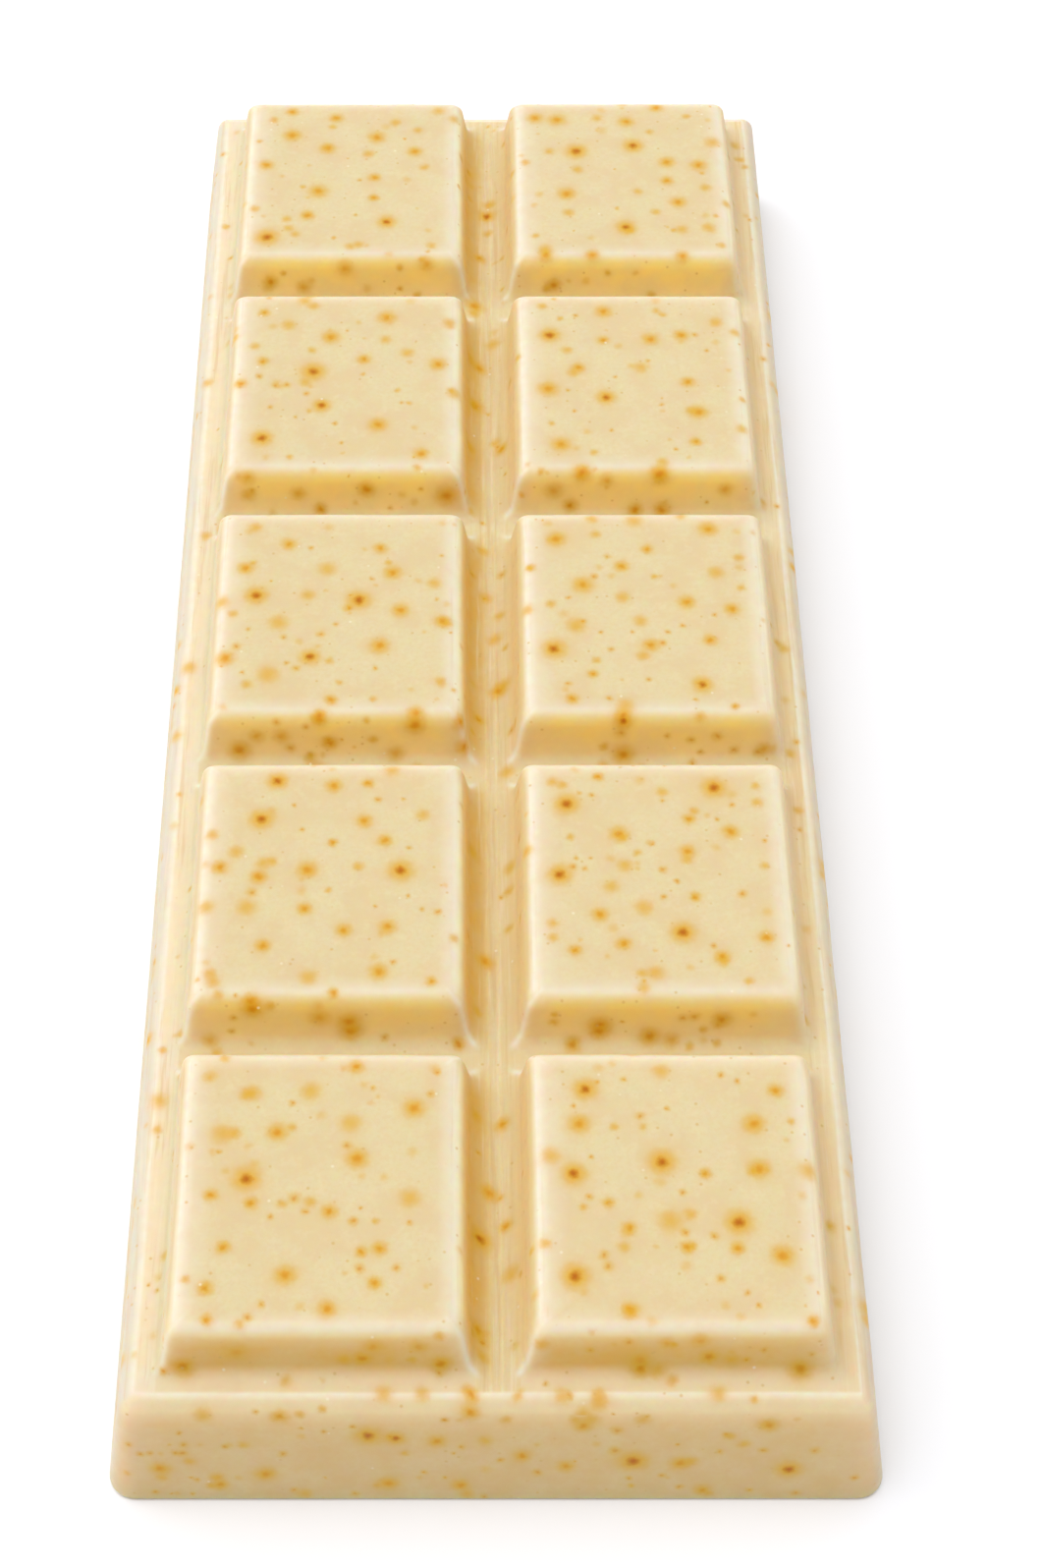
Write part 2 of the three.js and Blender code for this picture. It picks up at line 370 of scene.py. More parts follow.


# Painted shade on the slab's ends and sides, greyed on the sides as a painted reflection, by the way from
# its top's rim out and down its wall.
END_TINT = (
    (0.0, 0.1, (0.88, 0.70, 0.40)), (0.9, 0.1, (0.90, 0.76, 0.46)), (1.3, 0.35, (0.90, 0.76, 0.42)),
    (1.8, 0.4, (0.90, 0.64, 0.26)), (2.6, 0.45, (0.80, 0.47, 0.12)), (3.6, 0.5, (0.71, 0.43, 0.11)),
    (5.0, 0.55, (0.68, 0.41, 0.12)), (7.0, 0.55, (0.65, 0.40, 0.12)), (10.8, 0.58, (0.61, 0.39, 0.13)))
LEFT_TINT = (
    (0.0, 0.0, (0.62, 0.60, 0.52)), (0.3, 0.1, (0.62, 0.60, 0.52)), (0.55, 0.7, (0.60, 0.57, 0.49)),
    (1.1, 1.0, (0.61, 0.58, 0.50)), (1.5, 0.9, (0.61, 0.56, 0.46)), (2.0, 0.6, (0.60, 0.52, 0.39)),
    (10.8, 0.6, (0.60, 0.51, 0.37)))
RIGHT_TINT = (
    (0.0, 0.0, (0.60, 0.55, 0.46)), (0.45, 0.1, (0.60, 0.55, 0.46)), (0.75, 0.8, (0.61, 0.56, 0.46)),
    (1.1, 0.9, (0.61, 0.55, 0.44)), (2.0, 0.6, (0.60, 0.51, 0.37)), (10.8, 0.6, (0.59, 0.49, 0.34)))
BACK_TINT = (0.2, 0.70, 0.55, 0.30)
# Painted highlight along the slab's edge, by the same way down.
EDGE_HIGHLIGHT_AT = ([0, 0.22, 0.45, 0.65, 1.2, 2.0], [0.6, 0.95, 0.55, 0.25, 0.15, 0.0])
LEFT_EDGE_HIGHLIGHT_AT = ([0, 0.2, 0.5, 0.8, 2.0], [0.95, 0.95, 0.8, 0.2, 0.0])
CORNER_HIGHLIGHT, CORNER_HIGHLIGHT_REACH = 0.5, 2.0
SIDE_FADE = 0.6  # how far from a side's plane its tint turns into that of the ends
# The sides are streaked, less so from a little way below the edge.
SIDE_STREAKS, LOWER_STREAKS_LOSS = 0.6, 0.25
LOWER_FROM, LOWER_FADE = 1.0, 0.6


def tint_at(table, way):
    """Share and colour of a tint at one way down the slab's profile."""
    ways, shares, colours = zip(*table)
    return np.array([np.interp(way, ways, values) for values in (shares, *zip(*colours))])


way = 0.0
last = (0.0, SLAB_HEIGHT)
for outset, height in slab_profile():
    px, py = ring(outset)
    points.append(np.stack([px, py, np.full(len(px), height)], axis=-1))
    way += math.dist((outset, height), last)
    last = (outset, height)
    to_side = patch_x + outset - np.abs(px)
    to_end = patch_y + outset - np.abs(py)
    on_side = np.clip(1 - to_side / SIDE_FADE, 0, 1)
    # painted shade on the ends, and painted shade with a painted reflection on the sides
    side = np.where((px < 0)[:, None], tint_at(LEFT_TINT, way), tint_at(RIGHT_TINT, way))
    ring_tint = tint_at(END_TINT, way) * (1 - on_side)[:, None] + side * on_side[:, None]
    painted_light_tint.append(ring_tint[:, 0])
    painted_light_tone.append(ring_tint[:, 1:])
    # painted highlight along the edge, more on the left, and round the upright corners
    edge_highlight = np.interp(way, *EDGE_HIGHLIGHT_AT)
    left_more = np.interp(way, *LEFT_EDGE_HIGHLIGHT_AT) - edge_highlight
    corner_highlight = CORNER_HIGHLIGHT * np.exp(-(((to_side + to_end) / CORNER_HIGHLIGHT_REACH) ** 2))
    painted_highlight.append(np.maximum(edge_highlight + on_side * (px < 0) * left_more, corner_highlight))
    lower = np.clip((way - LOWER_FROM) / LOWER_FADE, 0, 1)
    streaked.append(on_side * (SIDE_STREAKS - LOWER_STREAKS_LOSS * lower))

# the flat back, ring by ring towards its middle
rim = points[-1][:, :2]
half_back = np.abs(rim).max(axis=0)
for share in np.linspace(0, BACK_REACH, BACK_RINGS + 1)[1:]:
    flat = rim * (1 - share * half_back[0] / half_back)
    points.append(np.column_stack([flat, np.zeros(len(rim))]))
    painted_light_tone.append(np.tile(BACK_TINT[1:], (len(rim), 1)))
    for shares, value in ((painted_light_tint, BACK_TINT[0]), (painted_highlight, 0.0), (streaked, 0.0)):
        shares.append(np.full(len(rim), value))

# each ring is joined to the one before, the first to the patch, and one face fills the last
rings = [perimeter]
for number in range(len(points) - 1):
    rings.append(grid_x.size + number * len(perimeter) + np.arange(len(perimeter)))
for outer, inner in zip(rings, rings[1:]):
    quads.append(np.stack([outer, inner, np.roll(inner, -1), np.roll(outer, -1)], axis=-1))
last_face = rings[-1][::-1]
vertices = np.concatenate(points)
faces = np.concatenate(quads)

# The faint unevenness of a cast bar, fading out towards its foot: a slow wobble and a finer ripple,
# each with a wavelength, seed and height for x, y and z.
WOBBLE = ((5.0, 31, 0.035), (5.0, 32, 0.035), (6.0, 33, 0.021))
RIPPLE = ((1.6, 34, 0.018), (1.6, 35, 0.018), (1.6, 36, 0.0072))
FADE_HEIGHT = 3.0
unevenness = np.zeros(vertices.shape)
for kind in (WOBBLE, RIPPLE):
    for axis, (wavelength, seed, height) in enumerate(kind):
        unevenness[:, axis] += height * lattice_noise(vertices, wavelength, seed)
moved = vertices + np.clip(vertices[:, 2:] / FADE_HEIGHT, 0, 1) * unevenness
limit = np.abs(vertices[:, :2]).max(axis=0)
moved[:, :2] = np.clip(moved[:, :2], -limit, limit)
moved[:, 2] = np.minimum(moved[:, 2], SLAB_HEIGHT + BLOCK_HEIGHT)

# ------------------------------------------------------------------ mesh
mesh = bpy.data.meshes.new("moulded_bar")
mesh.vertices.add(len(moved))
mesh.vertices.foreach_set("co", (moved * MM).reshape(-1))
mesh.loops.add(faces.size + len(last_face))
mesh.loops.foreach_set(
    "vertex_index", np.concatenate([faces.reshape(-1), last_face]).astype(np.int32))
mesh.polygons.add(len(faces) + 1)
mesh.polygons.foreach_set("loop_start", np.arange(len(faces) + 1, dtype=np.int32) * 4)
mesh.update(calc_edges=True)
mesh.validate()
mesh.shade_smooth()
bar = bpy.data.objects.new("moulded_bar", mesh)
bpy.context.scene.collection.objects.link(bar)
print("moulded_bar:", 2 * len(faces) + len(last_face) - 2, "triangles")


def attribute(name, kind, domain, values):
    """A named value for every point or face, for the material to read."""
    field = "value" if kind == "FLOAT" else "vector"
    layer = mesh.attributes.new(name, kind, domain)
    layer.data.foreach_set(field, np.asarray(values, np.float32).reshape(-1))


# the painted shade and light, the painted highlights and the streaks, for the material to read
for name, shares in (("painted_light_tint", painted_light_tint), ("painted_highlight", painted_highlight), ("streaked", streaked)):
    attribute(name, "FLOAT", "POINT", np.concatenate(shares))
attribute("painted_light_tone", "FLOAT_VECTOR", "POINT", np.concatenate(painted_light_tone))

# ------------------------------------------------------------------ specks
# A look is a speck's reach in mm at size 1, how dark its heart is and how full its ring.
DARK, AMBER, YELLOW, DOT = (1.3, 1.0, 1.0), (0.98, 0.42, 0.9), (1.0, 0.0, 0.66), (0.55, 0.5, 0.65)
FAINT = (0.6, 0.0, 0.35)
# On the walls the specks are browner and darker: painted shade, as on the walls round them.
ON_WALL = {DARK: DARK, AMBER: (1.1, 0.55, 0.9), YELLOW: (1.1, 0.3, 0.65), DOT: (0.65, 0.45, 0.55)}

# Specks on the tops of the blocks, by row and column: x and y from the block's middle, size.
TOP_SPECKS = {
    (0, 0): {
        DARK: [(-4.75, 0.55, 1)],
        AMBER: [(-2.9, 4.1, 1), (2.15, 9.2, 0.8), (6, 5.9, 1.1), (2.35, 2.05, 1.1), (-7, -0.65, 0.7),
                (-4.4, -1.3, 0.7), (0.65, -1.9, 0.8), (-6.05, -4.5, 0.7), (-2, -6.5, 1.1),
                (3.9, -4.6, 0.8), (2.75, -4.85, 0.6), (3.65, -7.1, 0.7), (-7, -7.45, 0.8),
                (0.7, -8.9, 0.9), (-6.8, -9.65, 0.6)],
        YELLOW: [(-6.45, 3.95, 1.1), (-0.8, 7.25, 1), (1.9, 4.8, 1), (5.8, -0.9, 1), (-4.6, 7.1, 0.8),
                 (-5, 7.05, 0.7), (-7.5, 8.4, 0.7), (-2.4, -1.3, 0.5)],
        DOT: [(-1.6, -0.9, 1.1), (-0.9, -1.9, 0.7), (2.2, -2.6, 0.9), (2.7, -6.05, 1), (5, -6, 0.8),
              (-4.25, -9.45, 0.9), (-3.45, -8.6, 0.7), (1.7, 3.1, 0.9), (3.3, 7.5, 0.5),
              (7.1, 7.05, 0.7), (7.5, 8.75, 0.7), (-2, 6.35, 0.6), (5.8, -2.75, 0.6), (-3.1, -2.3, 0.6)],
    },
    (0, 1): {
        DARK: [(-5.65, 7.4, 0.9), (-6.55, 0.9, 0.9), (-0.8, 1.8, 1), (3.9, -2.7, 1), (-6.65, -6.6, 1)],
        AMBER: [(-6.1, 4.7, 1.1), (5.3, 4.7, 1.1), (6.9, 7.3, 0.8), (5.45, 1.25, 1.1), (1.9, 0.9, 0.6),
                (6.5, -5.1, 1.1), (3.7, -4.6, 0.7), (0.5, -4.55, 0.7), (-3.1, -3.1, 0.7),
                (-3.25, -9, 0.8), (-4.4, -1.25, 0.6), (8.1, -9.75, 0.6)],
        YELLOW: [(-0.5, -2.6, 1.2), (-0.6, 8.85, 0.8), (-8, 2.25, 0.9), (8.6, 1.2, 1), (-8.5, -4.2, 0.6),
                 (-3.5, -4.5, 0.6)],
        DOT: [(0.4, -3.45, 0.8), (2.25, -3.7, 0.8), (-4.55, -5.9, 1), (-4.8, -5.1, 0.9),
              (-5.6, -0.85, 0.7), (-6, -1.6, 0.7), (-2.1, 5.3, 0.8), (-3.1, 8.15, 0.6), (3.35, 8.5, 0.7),
              (4.4, 8.05, 0.6), (2.5, -6.8, 0.8), (4.8, -8.7, 0.5), (4.1, -7.75, 0.6), (0.4, -0.5, 0.7),
              (-5.4, 2.15, 0.5), (-6.5, 6.15, 0.5), (-0.35, 5.9, 0.5), (-4.9, 7.95, 0.5)],
    },
    (1, 0): {
        DARK: [(-4, 8.6, 0.8), (-5, 5.1, 0.95), (4.9, 0.55, 1)],
        AMBER: [(0.05, 8.15, 0.9), (2.5, 8.35, 0.6), (2.25, 4.95, 0.9), (3.75, 3.2, 0.8),
                (0.1, 3, 0.5), (-7.75, 0.85, 0.9), (-1.6, 0.6, 1.1), (-5, 0, 0.9), (-1.7, -2.75, 0.8),
                (1.05, -4.6, 0.8), (4.05, -4.3, 0.9), (-4.45, -5.9, 0.8), (3.5, -8.1, 1),
                (0.45, -9.8, 0.6), (7.05, -8.9, 0.6), (-5.1, -10.3, 0.8)],
        YELLOW: [(4.2, 9.6, 0.8), (6.4, 5.5, 0.7), (-6.65, 2.2, 0.8), (-4.1, 1.4, 0.6), (-5.7, -2.65, 1),
                 (-8.5, -2.6, 0.9), (-1.25, -8.55, 0.9), (-7.7, -8.9, 0.7), (1.9, 0.9, 0.6),
                 (-8.4, 3.75, 0.7), (8.6, -5.2, 0.6), (-7.3, -9.9, 0.6)],
        DOT: [(3.2, 6.85, 0.7), (-5.4, -1.35, 1), (4.5, -7.3, 0.7), (7.5, -3, 0.7), (6.4, -2.8, 0.5),
              (-2.1, 4.2, 0.5), (-2.7, 6.4, 0.5), (5, 6.9, 0.4)],
    },
    (1, 1): {
        DARK: [(-6.3, 6.5, 1), (-6.95, 0.2, 0.95), (4.2, 7.95, 1), (1.4, -4.8, 0.95)],
        AMBER: [(-2.7, 3.8, 1), (5.2, 4, 0.9), (2.3, 5.1, 0.7), (2.05, 2.25, 0.8), (-4, 9, 0.6),
                (-4.25, -3.3, 0.9), (-2.7, -5.75, 0.8), (-6, -6.3, 0.7), (4, -6.85, 0.8),
                (7.1, -5.2, 0.8), (2.4, -1.75, 0.6)],
        YELLOW: [(2, 1.55, 0.6), (-1.2, -2.7, 0.9), (-3.4, -0.85, 0.8), (-0.6, -8.2, 0.8),
                 (5.7, -8.85, 0.5), (0.5, 7.6, 0.6), (7.2, 6.6, 0.6), (7.2, 8.1, 0.5), (-2.4, 1, 0.8),
                 (-7.5, -5.2, 0.6), (-7.3, 8.5, 0.6), (7.4, 1, 0.5)],
        DOT: [(5.7, -1.5, 0.9), (1.2, -0.4, 0.6), (0.3, 0.6, 0.8), (3.45, -5.95, 0.6), (-6, 0.9, 0.8),
              (-5.2, 0.7, 0.6), (-5.8, 1.65, 0.5), (-4.5, 7.3, 0.7), (-5.4, 7.5, 0.5), (0.5, 6.8, 0.5),
              (5.4, 6.4, 0.6), (7.5, 3.2, 0.5), (-0.4, 2.9, 0.5), (0.2, -1.75, 0.6), (4.3, 5.1, 0.5),
              (-1.4, -8.9, 0.5)],
    },
    (2, 0): {
        DARK: [(-6.25, 1.6, 0.95), (1.45, 1.1, 1), (-2.05, -4.6, 0.85)],
        AMBER: [(3.95, 3.95, 1), (3.1, -3.5, 1.1), (-4, 6.9, 0.9), (-7.2, 4.4, 0.9), (3, 6.45, 0.8),
                (4.6, 0.1, 1), (7.7, -1, 0.9), (-8.3, -4.65, 1.1), (-0.4, -8.75, 0.7),
                (-1.2, -10.3, 0.8), (5.8, -9.9, 0.9), (0.7, 0.3, 0.5)],
        YELLOW: [(-1, 4.35, 1), (7.1, 2.85, 0.8), (-4.5, -1.15, 1.1), (-2.4, 1.65, 0.8),
                 (-5.1, -6.3, 1.2), (-8.8, 1, 0.9), (7.6, -6.9, 0.6)],
        DOT: [(-7.55, -3.5, 1), (-1.3, -2.3, 0.9), (-3.05, -5.7, 0.8), (-0.2, -1.3, 0.6),
              (-4.05, -2.6, 0.6), (0.2, -7.1, 0.6), (2.8, -5.7, 0.6), (-3.75, -5.2, 0.6),
              (-6.7, -1.8, 0.5), (7.7, 5.7, 0.5), (-2.3, 6.5, 0.6), (2.4, 3.3, 0.5), (-7, -6.1, 0.5)],
    },
    (2, 1): {
        DARK: [(-6.9, -3.8, 1), (3.9, -7.3, 0.85), (-2, -10.4, 0.7)],
        AMBER: [(-6.5, 7.45, 1.1), (5.15, 8.5, 1.1), (-4.6, 2.65, 1.2), (3.15, 0.9, 1), (0.3, -3.4, 0.95),
                (6.5, 0.2, 0.9), (4.7, -2.9, 0.8), (-1.6, 4.6, 0.8), (0.4, 6.35, 0.7),
                (-4.1, -6.25, 0.6), (-5.65, -8.65, 0.7), (6.2, -9.4, 0.5)],
        YELLOW: [(-5.2, -1.4, 1.1), (5.5, 3.95, 0.9), (-0.5, 9.4, 1), (-3.7, 9.6, 0.7), (-1.8, -9.3, 1),
                 (-0.35, -4.5, 0.7), (-0.4, -1, 0.8), (-1.65, 1.4, 0.8), (-3.5, 7.9, 0.6), (7.3, 5.5, 0.6),
                 (7.3, 2.4, 0.5), (-8.8, 0.2, 0.7)],
        DOT: [(-2.95, -8.6, 0.7), (1.2, -3.2, 0.8), (-3.75, 3.5, 0.8), (5.2, -0.4, 0.6),
              (-2.7, -3.85, 0.7), (3.35, -8.7, 0.5), (0, -6.8, 0.6), (-2.65, 5.6, 0.7), (2.7, -1.5, 0.6),
              (1.6, -2.1, 0.6), (-5.7, 1.4, 0.5), (-5.9, -7.2, 0.6), (-4.7, -1.05, 0.6)],
    },
    (3, 0): {
        DARK: [(-2.7, 1, 1.1), (-6.55, -6.6, 0.95), (-1.95, -2.9, 0.8)],
        AMBER: [(3.1, 7.4, 1.1), (-1.4, 5.05, 1.1), (1.3, 2.45, 0.8), (7.3, 1.9, 1), (2.55, -5.1, 1.1),
                (-6.95, 8, 0.7), (-6.8, 2.2, 0.7), (-8.5, -0.35, 0.8), (6, -8.3, 0.9)],
        YELLOW: [(8.65, -1.35, 1), (4.8, 3.2, 0.8), (3.05, 4.75, 0.7), (-4.9, 6.5, 0.9), (-2.9, 8.8, 0.7),
                 (-3.7, 9.5, 0.8), (8.2, 6.8, 0.8), (5.7, -9.8, 0.5)],
        DOT: [(-4.75, -0.5, 0.9), (-5.65, -0.65, 0.9), (-7, 0.45, 0.8), (-3.2, -1.5, 0.7),
              (-0.85, -4.95, 0.6), (-6, -3.1, 0.6), (-3.95, -4.2, 0.5), (4.4, -2.6, 0.5),
              (-0.3, -7.1, 0.5)],
    },
    (3, 1): {
        DARK: [(-6.55, 5.3, 0.95), (-2.2, -2, 0.85)],
        AMBER: [(-6.8, -1, 1.2), (5.1, -3.7, 1.1), (-2.1, 8.1, 1), (1.6, 4.8, 1), (-2.25, 4.7, 0.7),
                (4.1, 5.3, 0.9), (-5.9, -7.3, 1.1), (4.4, -0.2, 0.8), (-4.3, 1.5, 0.8), (4.7, -7, 0.7),
                (-4.4, -10.2, 0.8), (1.8, -10.3, 0.9)],
        YELLOW: [(-4.75, 0.9, 0.7), (0.7, 1.5, 0.9), (7, 6.8, 0.8), (8.5, 5.7, 0.7), (2, -9.2, 0.7),
                 (-7.1, 8.8, 0.6), (8.4, -5.5, 0.7), (8.7, -2.1, 0.5)],
        DOT: [(5.2, 5.3, 0.7), (1.3, 2.3, 0.5), (-1.4, 0.4, 0.5), (-1.9, -5.7, 0.5), (-4.4, 7.6, 0.6),
              (2.2, -2.8, 0.5), (3.1, -7.8, 0.5), (6.1, 3.5, 0.5)],
    },
    (4, 0): {
        DARK: [(-7.1, -7.65, 1.1), (2.9, -5.7, 0.85)],
        AMBER: [(-2.95, -1.75, 1.2), (-5.4, 5.7, 1.15), (-2.3, 3.95, 1), (1.9, 5.4, 1.1),
                (-1.65, 8.05, 0.9), (5.2, 3.5, 0.9), (-7.5, 1.75, 0.9), (-3.8, -4.9, 0.9),
                (1.8, 0.05, 0.8), (1.75, -2.6, 0.7), (-5.5, 8.9, 0.8)],
        YELLOW: [(3.5, 7.4, 0.7), (8.6, 8, 0.8), (7.2, 9, 0.8), (1.2, 3.2, 0.7), (-5.5, -5.3, 0.6),
                 (-5.3, -6.5, 0.6), (0.6, -8.6, 0.6), (-0.1, -8.8, 0.6), (6.7, -8.7, 0.6),
                 (6.05, 1.4, 0.6)],
        DOT: [(0.5, -0.3, 0.5), (4.3, 5.2, 0.5), (0.3, -4.8, 0.5)],
    },
    (4, 1): {
        DARK: [(-3.8, 3.5, 1.05), (1.1, 4.25, 0.95), (0.1, -6.4, 0.9)],
        AMBER: [(3.9, 2.1, 1), (3.8, -0.4, 0.8), (4.65, -3.2, 1), (6.6, 1.7, 1), (-4.75, -2.1, 1.1),
                (0.6, 7.5, 1), (-5.4, 7.75, 1.1), (-7.3, 8, 1), (3.3, 9.45, 0.9), (-2.8, -9.8, 0.9),
                (4.7, -9.9, 0.9), (-6.7, -9.8, 0.9)],
        YELLOW: [(8, 4.75, 1), (-1.9, 8, 0.7), (-4.65, -4.5, 0.7), (-3.8, 1.1, 0.7), (7.05, -1.25, 0.7),
                 (7, -6.4, 0.8), (4.8, -6.7, 0.8), (2.7, -4.4, 0.6), (-6.7, -9.2, 0.9), (-8.2, 2.1, 0.6),
                 (8.8, -3.2, 0.7), (1.3, -1.8, 0.6), (-7.5, -7.45, 0.5), (2.6, 6.1, 0.5)],
    },
}

# Specks on their front walls: x from the block's middle, height over the slab, size.
WALL_SPECKS = {
    (0, 0): {AMBER: [(2.9, 1.2, 0.8), (-8.4, 0.5, 1), (7.8, 0.7, 0.9)],
             YELLOW: [(3.6, 2.3, 0.9), (6.4, 2.3, 0.8), (-5, 1.8, 1.2)], DOT: [(7.7, 0.1, 0.6)]},
    (0, 1): {AMBER: [(-2.55, 0.3, 0.8), (1.7, 1.3, 0.9), (7.5, 0.3, 1)],
             YELLOW: [(-2.6, 1, 1.2), (1.1, 2.8, 0.8), (-1, 2.6, 0.7)],
             DOT: [(-3.4, 2.7, 0.8), (-5.8, 2, 0.7), (5.1, 2, 0.6), (8.1, 1.6, 0.6)]},
    (1, 0): {AMBER: [(-5, 3, 1), (1.5, 1.8, 1.1), (1.6, 0.9, 1)],
             YELLOW: [(-0.5, 2.2, 1), (-8, 0.2, 0.8)],
             DOT: [(-6.3, 2.2, 0.7), (8.9, 0.1, 1), (3.9, 0.4, 0.7), (-6.5, 0.9, 0.6)]},
    (1, 1): {AMBER: [(-4.4, 1.5, 1), (-4.4, 0.9, 0.9), (-1, 0.5, 1), (3.85, 2.05, 0.9), (-6.2, 0, 0.8)],
             YELLOW: [(0.5, 0.2, 0.8)],
             DOT: [(3.6, 1.5, 0.8), (2, 2.3, 0.9), (1.2, 2.2, 0.8)]},
    (2, 0): {AMBER: [(-7.1, 0.8, 1.1), (5.75, 3.1, 1), (-1.2, 3.6, 0.7), (-0.5, 1.5, 0.8), (9.4, 1, 0.9)],
             YELLOW: [(-4, 2.1, 0.8), (4.3, 0.5, 0.9), (-5.8, 2.1, 0.8)],
             DOT: [(-3.4, 1, 1), (-2.2, 2.95, 0.6), (-4.3, 3.3, 0.7)]},
    (2, 1): {AMBER: [(-2, 3.6, 0.7), (-1.9, 0.4, 1.1)], YELLOW: [(8.4, 0.9, 0.7)],
             DOT: [(-2.15, 2.4, 1), (4.9, 2.1, 0.9), (3, 1.75, 0.7), (6.2, 0.8, 0.9), (8, 0.6, 0.9),
                   (1.3, 2.1, 0.6), (3.8, 0.6, 0.6)]},
    (3, 0): {AMBER: [(1.75, 2.3, 0.9), (8, 1.7, 1.2), (-1.9, 0.5, 0.7)],
             YELLOW: [(-7.5, 3.3, 0.8), (-3.6, 1.9, 0.8)],
             DOT: [(-7.2, 2.2, 0.6), (6, 2.3, 0.5), (3.6, 0.6, 0.5)]},
    (3, 1): {AMBER: [(-4.3, 3.6, 0.9), (1.7, 3.5, 1), (-5.2, 0.8, 0.8), (-0.1, 0.4, 0.8), (2, 0.4, 0.9)],
             YELLOW: [(-6.5, 2.2, 1), (6.9, 2.3, 0.8), (-2.4, 3.1, 0.7)]},
    (4, 0): {AMBER: [(-6.75, 1.7, 0.8)], YELLOW: [(-0.5, 3, 0.9), (6.3, 3.3, 0.8), (-4, 1.2, 0.8)]},
    (4, 1): {AMBER: [(-6, 1.4, 0.8)]},
}

# Specks on the slab's front face: x, height, size.
FACE_SPECKS = {
    DARK: [(-8.25, 6.4, 1), (-6.55, 6.15, 0.75), (8.6, 3.9, 1.1), (18.6, 3.05, 0.95)],
    AMBER: [(-1.8, 9.3, 0.8), (-1.8, 8.5, 1), (-13.8, 8.2, 0.9), (-21.6, 3.15, 1), (-14.9, 2.65, 1),
            (-17.9, 1.55, 0.8), (-7.05, 1.7, 1), (-2.4, 1.55, 0.9), (-3.9, 5.85, 0.9), (11.6, 3.65, 1),
            (17, 7.35, 1), (5.3, 7.3, 0.9), (1.5, 4.4, 0.9), (4.3, 3.35, 0.9), (13.2, 1, 0.8)],
    YELLOW: [(-7.25, 9.35, 0.8), (-4.85, 9.5, 0.7), (-18.6, 8.3, 0.9), (5.25, 8.5, 0.7),
             (6.25, 9.35, 0.6), (13.75, 9.45, 0.8), (-0.85, 5.9, 0.7)],
    DOT: [(7.45, 6.85, 1.1), (7.4, 4.9, 1.1), (2.5, 2.75, 0.9), (-20.1, 4.65, 1), (-20.55, 4.7, 0.7),
          (-13.7, 4.65, 0.8), (-22.8, 4.6, 0.7), (-17.35, 5.3, 0.7), (-2.35, 5.3, 0.7), (-9.2, 7.3, 0.6),
          (-0.9, 0.3, 0.8), (-13.15, 1.05, 0.7), (-22.1, 0.85, 0.7), (0.15, 4, 0.7), (-11.05, 6.8, 0.6),
          (-20.2, 6.65, 0.6), (-19.35, 2.05, 0.6), (-4.75, 2.8, 0.6), (-23.8, 2.6, 0.7), (-23.5, 5.5, 0.6),
          (10.5, 2.45, 0.7), (11.7, 1.35, 0.7), (16.8, 4.9, 0.8), (20.1, 4.9, 0.9), (16.2, 1, 0.7),
          (19.2, 0.7, 0.8), (14.4, 6.5, 0.6), (9.3, 8.2, 0.5), (8.4, 2.2, 0.6), (14.1, 4.8, 0.6)],
}

# Specks in the channel: x, y from the middle of the bar, size.
CHANNEL_SPECKS = {
    DARK: [(0, 49.6, 0.85), (-1.1, -51.6, 0.85)],
    AMBER: [(-1.1, 38.2, 1.15), (-0.6, 44.2, 0.7), (-0.75, 30.6, 0.9), (-1.1, 26.1, 1), (1, 21.1, 0.8),
            (0.5, -4.5, 1), (-1, -7.3, 0.7), (-0.6, -29.4, 0.95), (0.4, -42.8, 0.8), (-0.5, -48.1, 0.9),
            (0.6, -50.6, 0.7), (-1.3, -58.3, 0.9), (-2.3, -10.3, 0.9)],
    YELLOW: [(0.4, 33.5, 0.9), (0.9, -54.2, 0.9), (-1.5, 21, 0.8), (-1.5, -20, 0.9), (1.25, -21.3, 0.8)],
    DOT: [(-1.4, 7.2, 0.9), (0.9, 7.4, 1), (-2.5, -36.5, 1), (0.25, -48.5, 0.7), (1.3, 44, 0.7)],
}


def on_the_bar(x, y):
    """Height of the bar's upper surface at a place, from the grid's nearest point."""
    near_x = np.abs(lines_x - x).argmin()
    near_y = np.abs(lines_y - y).argmin()
    return points[0][index[near_y, near_x], 2]


# The lists' places are a little too far left and, on the walls and the front face, a little low.
TO_RIGHT = 0.1
TO_RIGHT_IN_CHANNEL = 0.05
WALL_LIFT = 0.2
FACE_STRETCH = 1.09
FACE_LIFT = 0.12

specks = []
for (row, column), looks in TOP_SPECKS.items():
    for look, places in looks.items():
        for x, y, size in places:
            x, y = x + TO_RIGHT + column_centres[column], y + row_centres[row]
            specks.append((x, y, on_the_bar(x, y), size, look))
for (row, column), looks in WALL_SPECKS.items():
    for look, places in looks.items():
        for x, up, size in places:
            x, up = x + TO_RIGHT + column_centres[column], up + WALL_LIFT
            y = row_centres[row] - foot_y + np.interp(up, block_profile(wall_lines()), wall_lines())
            specks.append((x, y, SLAB_HEIGHT + up, size, ON_WALL[look]))
front_out, front_up = map(np.array, zip(*slab_profile()[:-1]))
for look, places in FACE_SPECKS.items():
    for x, up, size in places:
        up = min(FACE_LIFT + FACE_STRETCH * up, SLAB_HEIGHT)
        y = -patch_y - np.interp(-up, -front_up, front_out)
        specks.append((x + TO_RIGHT, y, up, size, look))
for look, places in CHANNEL_SPECKS.items():
    for x, y, size in places:
        specks.append((x + TO_RIGHT_IN_CHANNEL, y, on_the_bar(x, y), size, look))

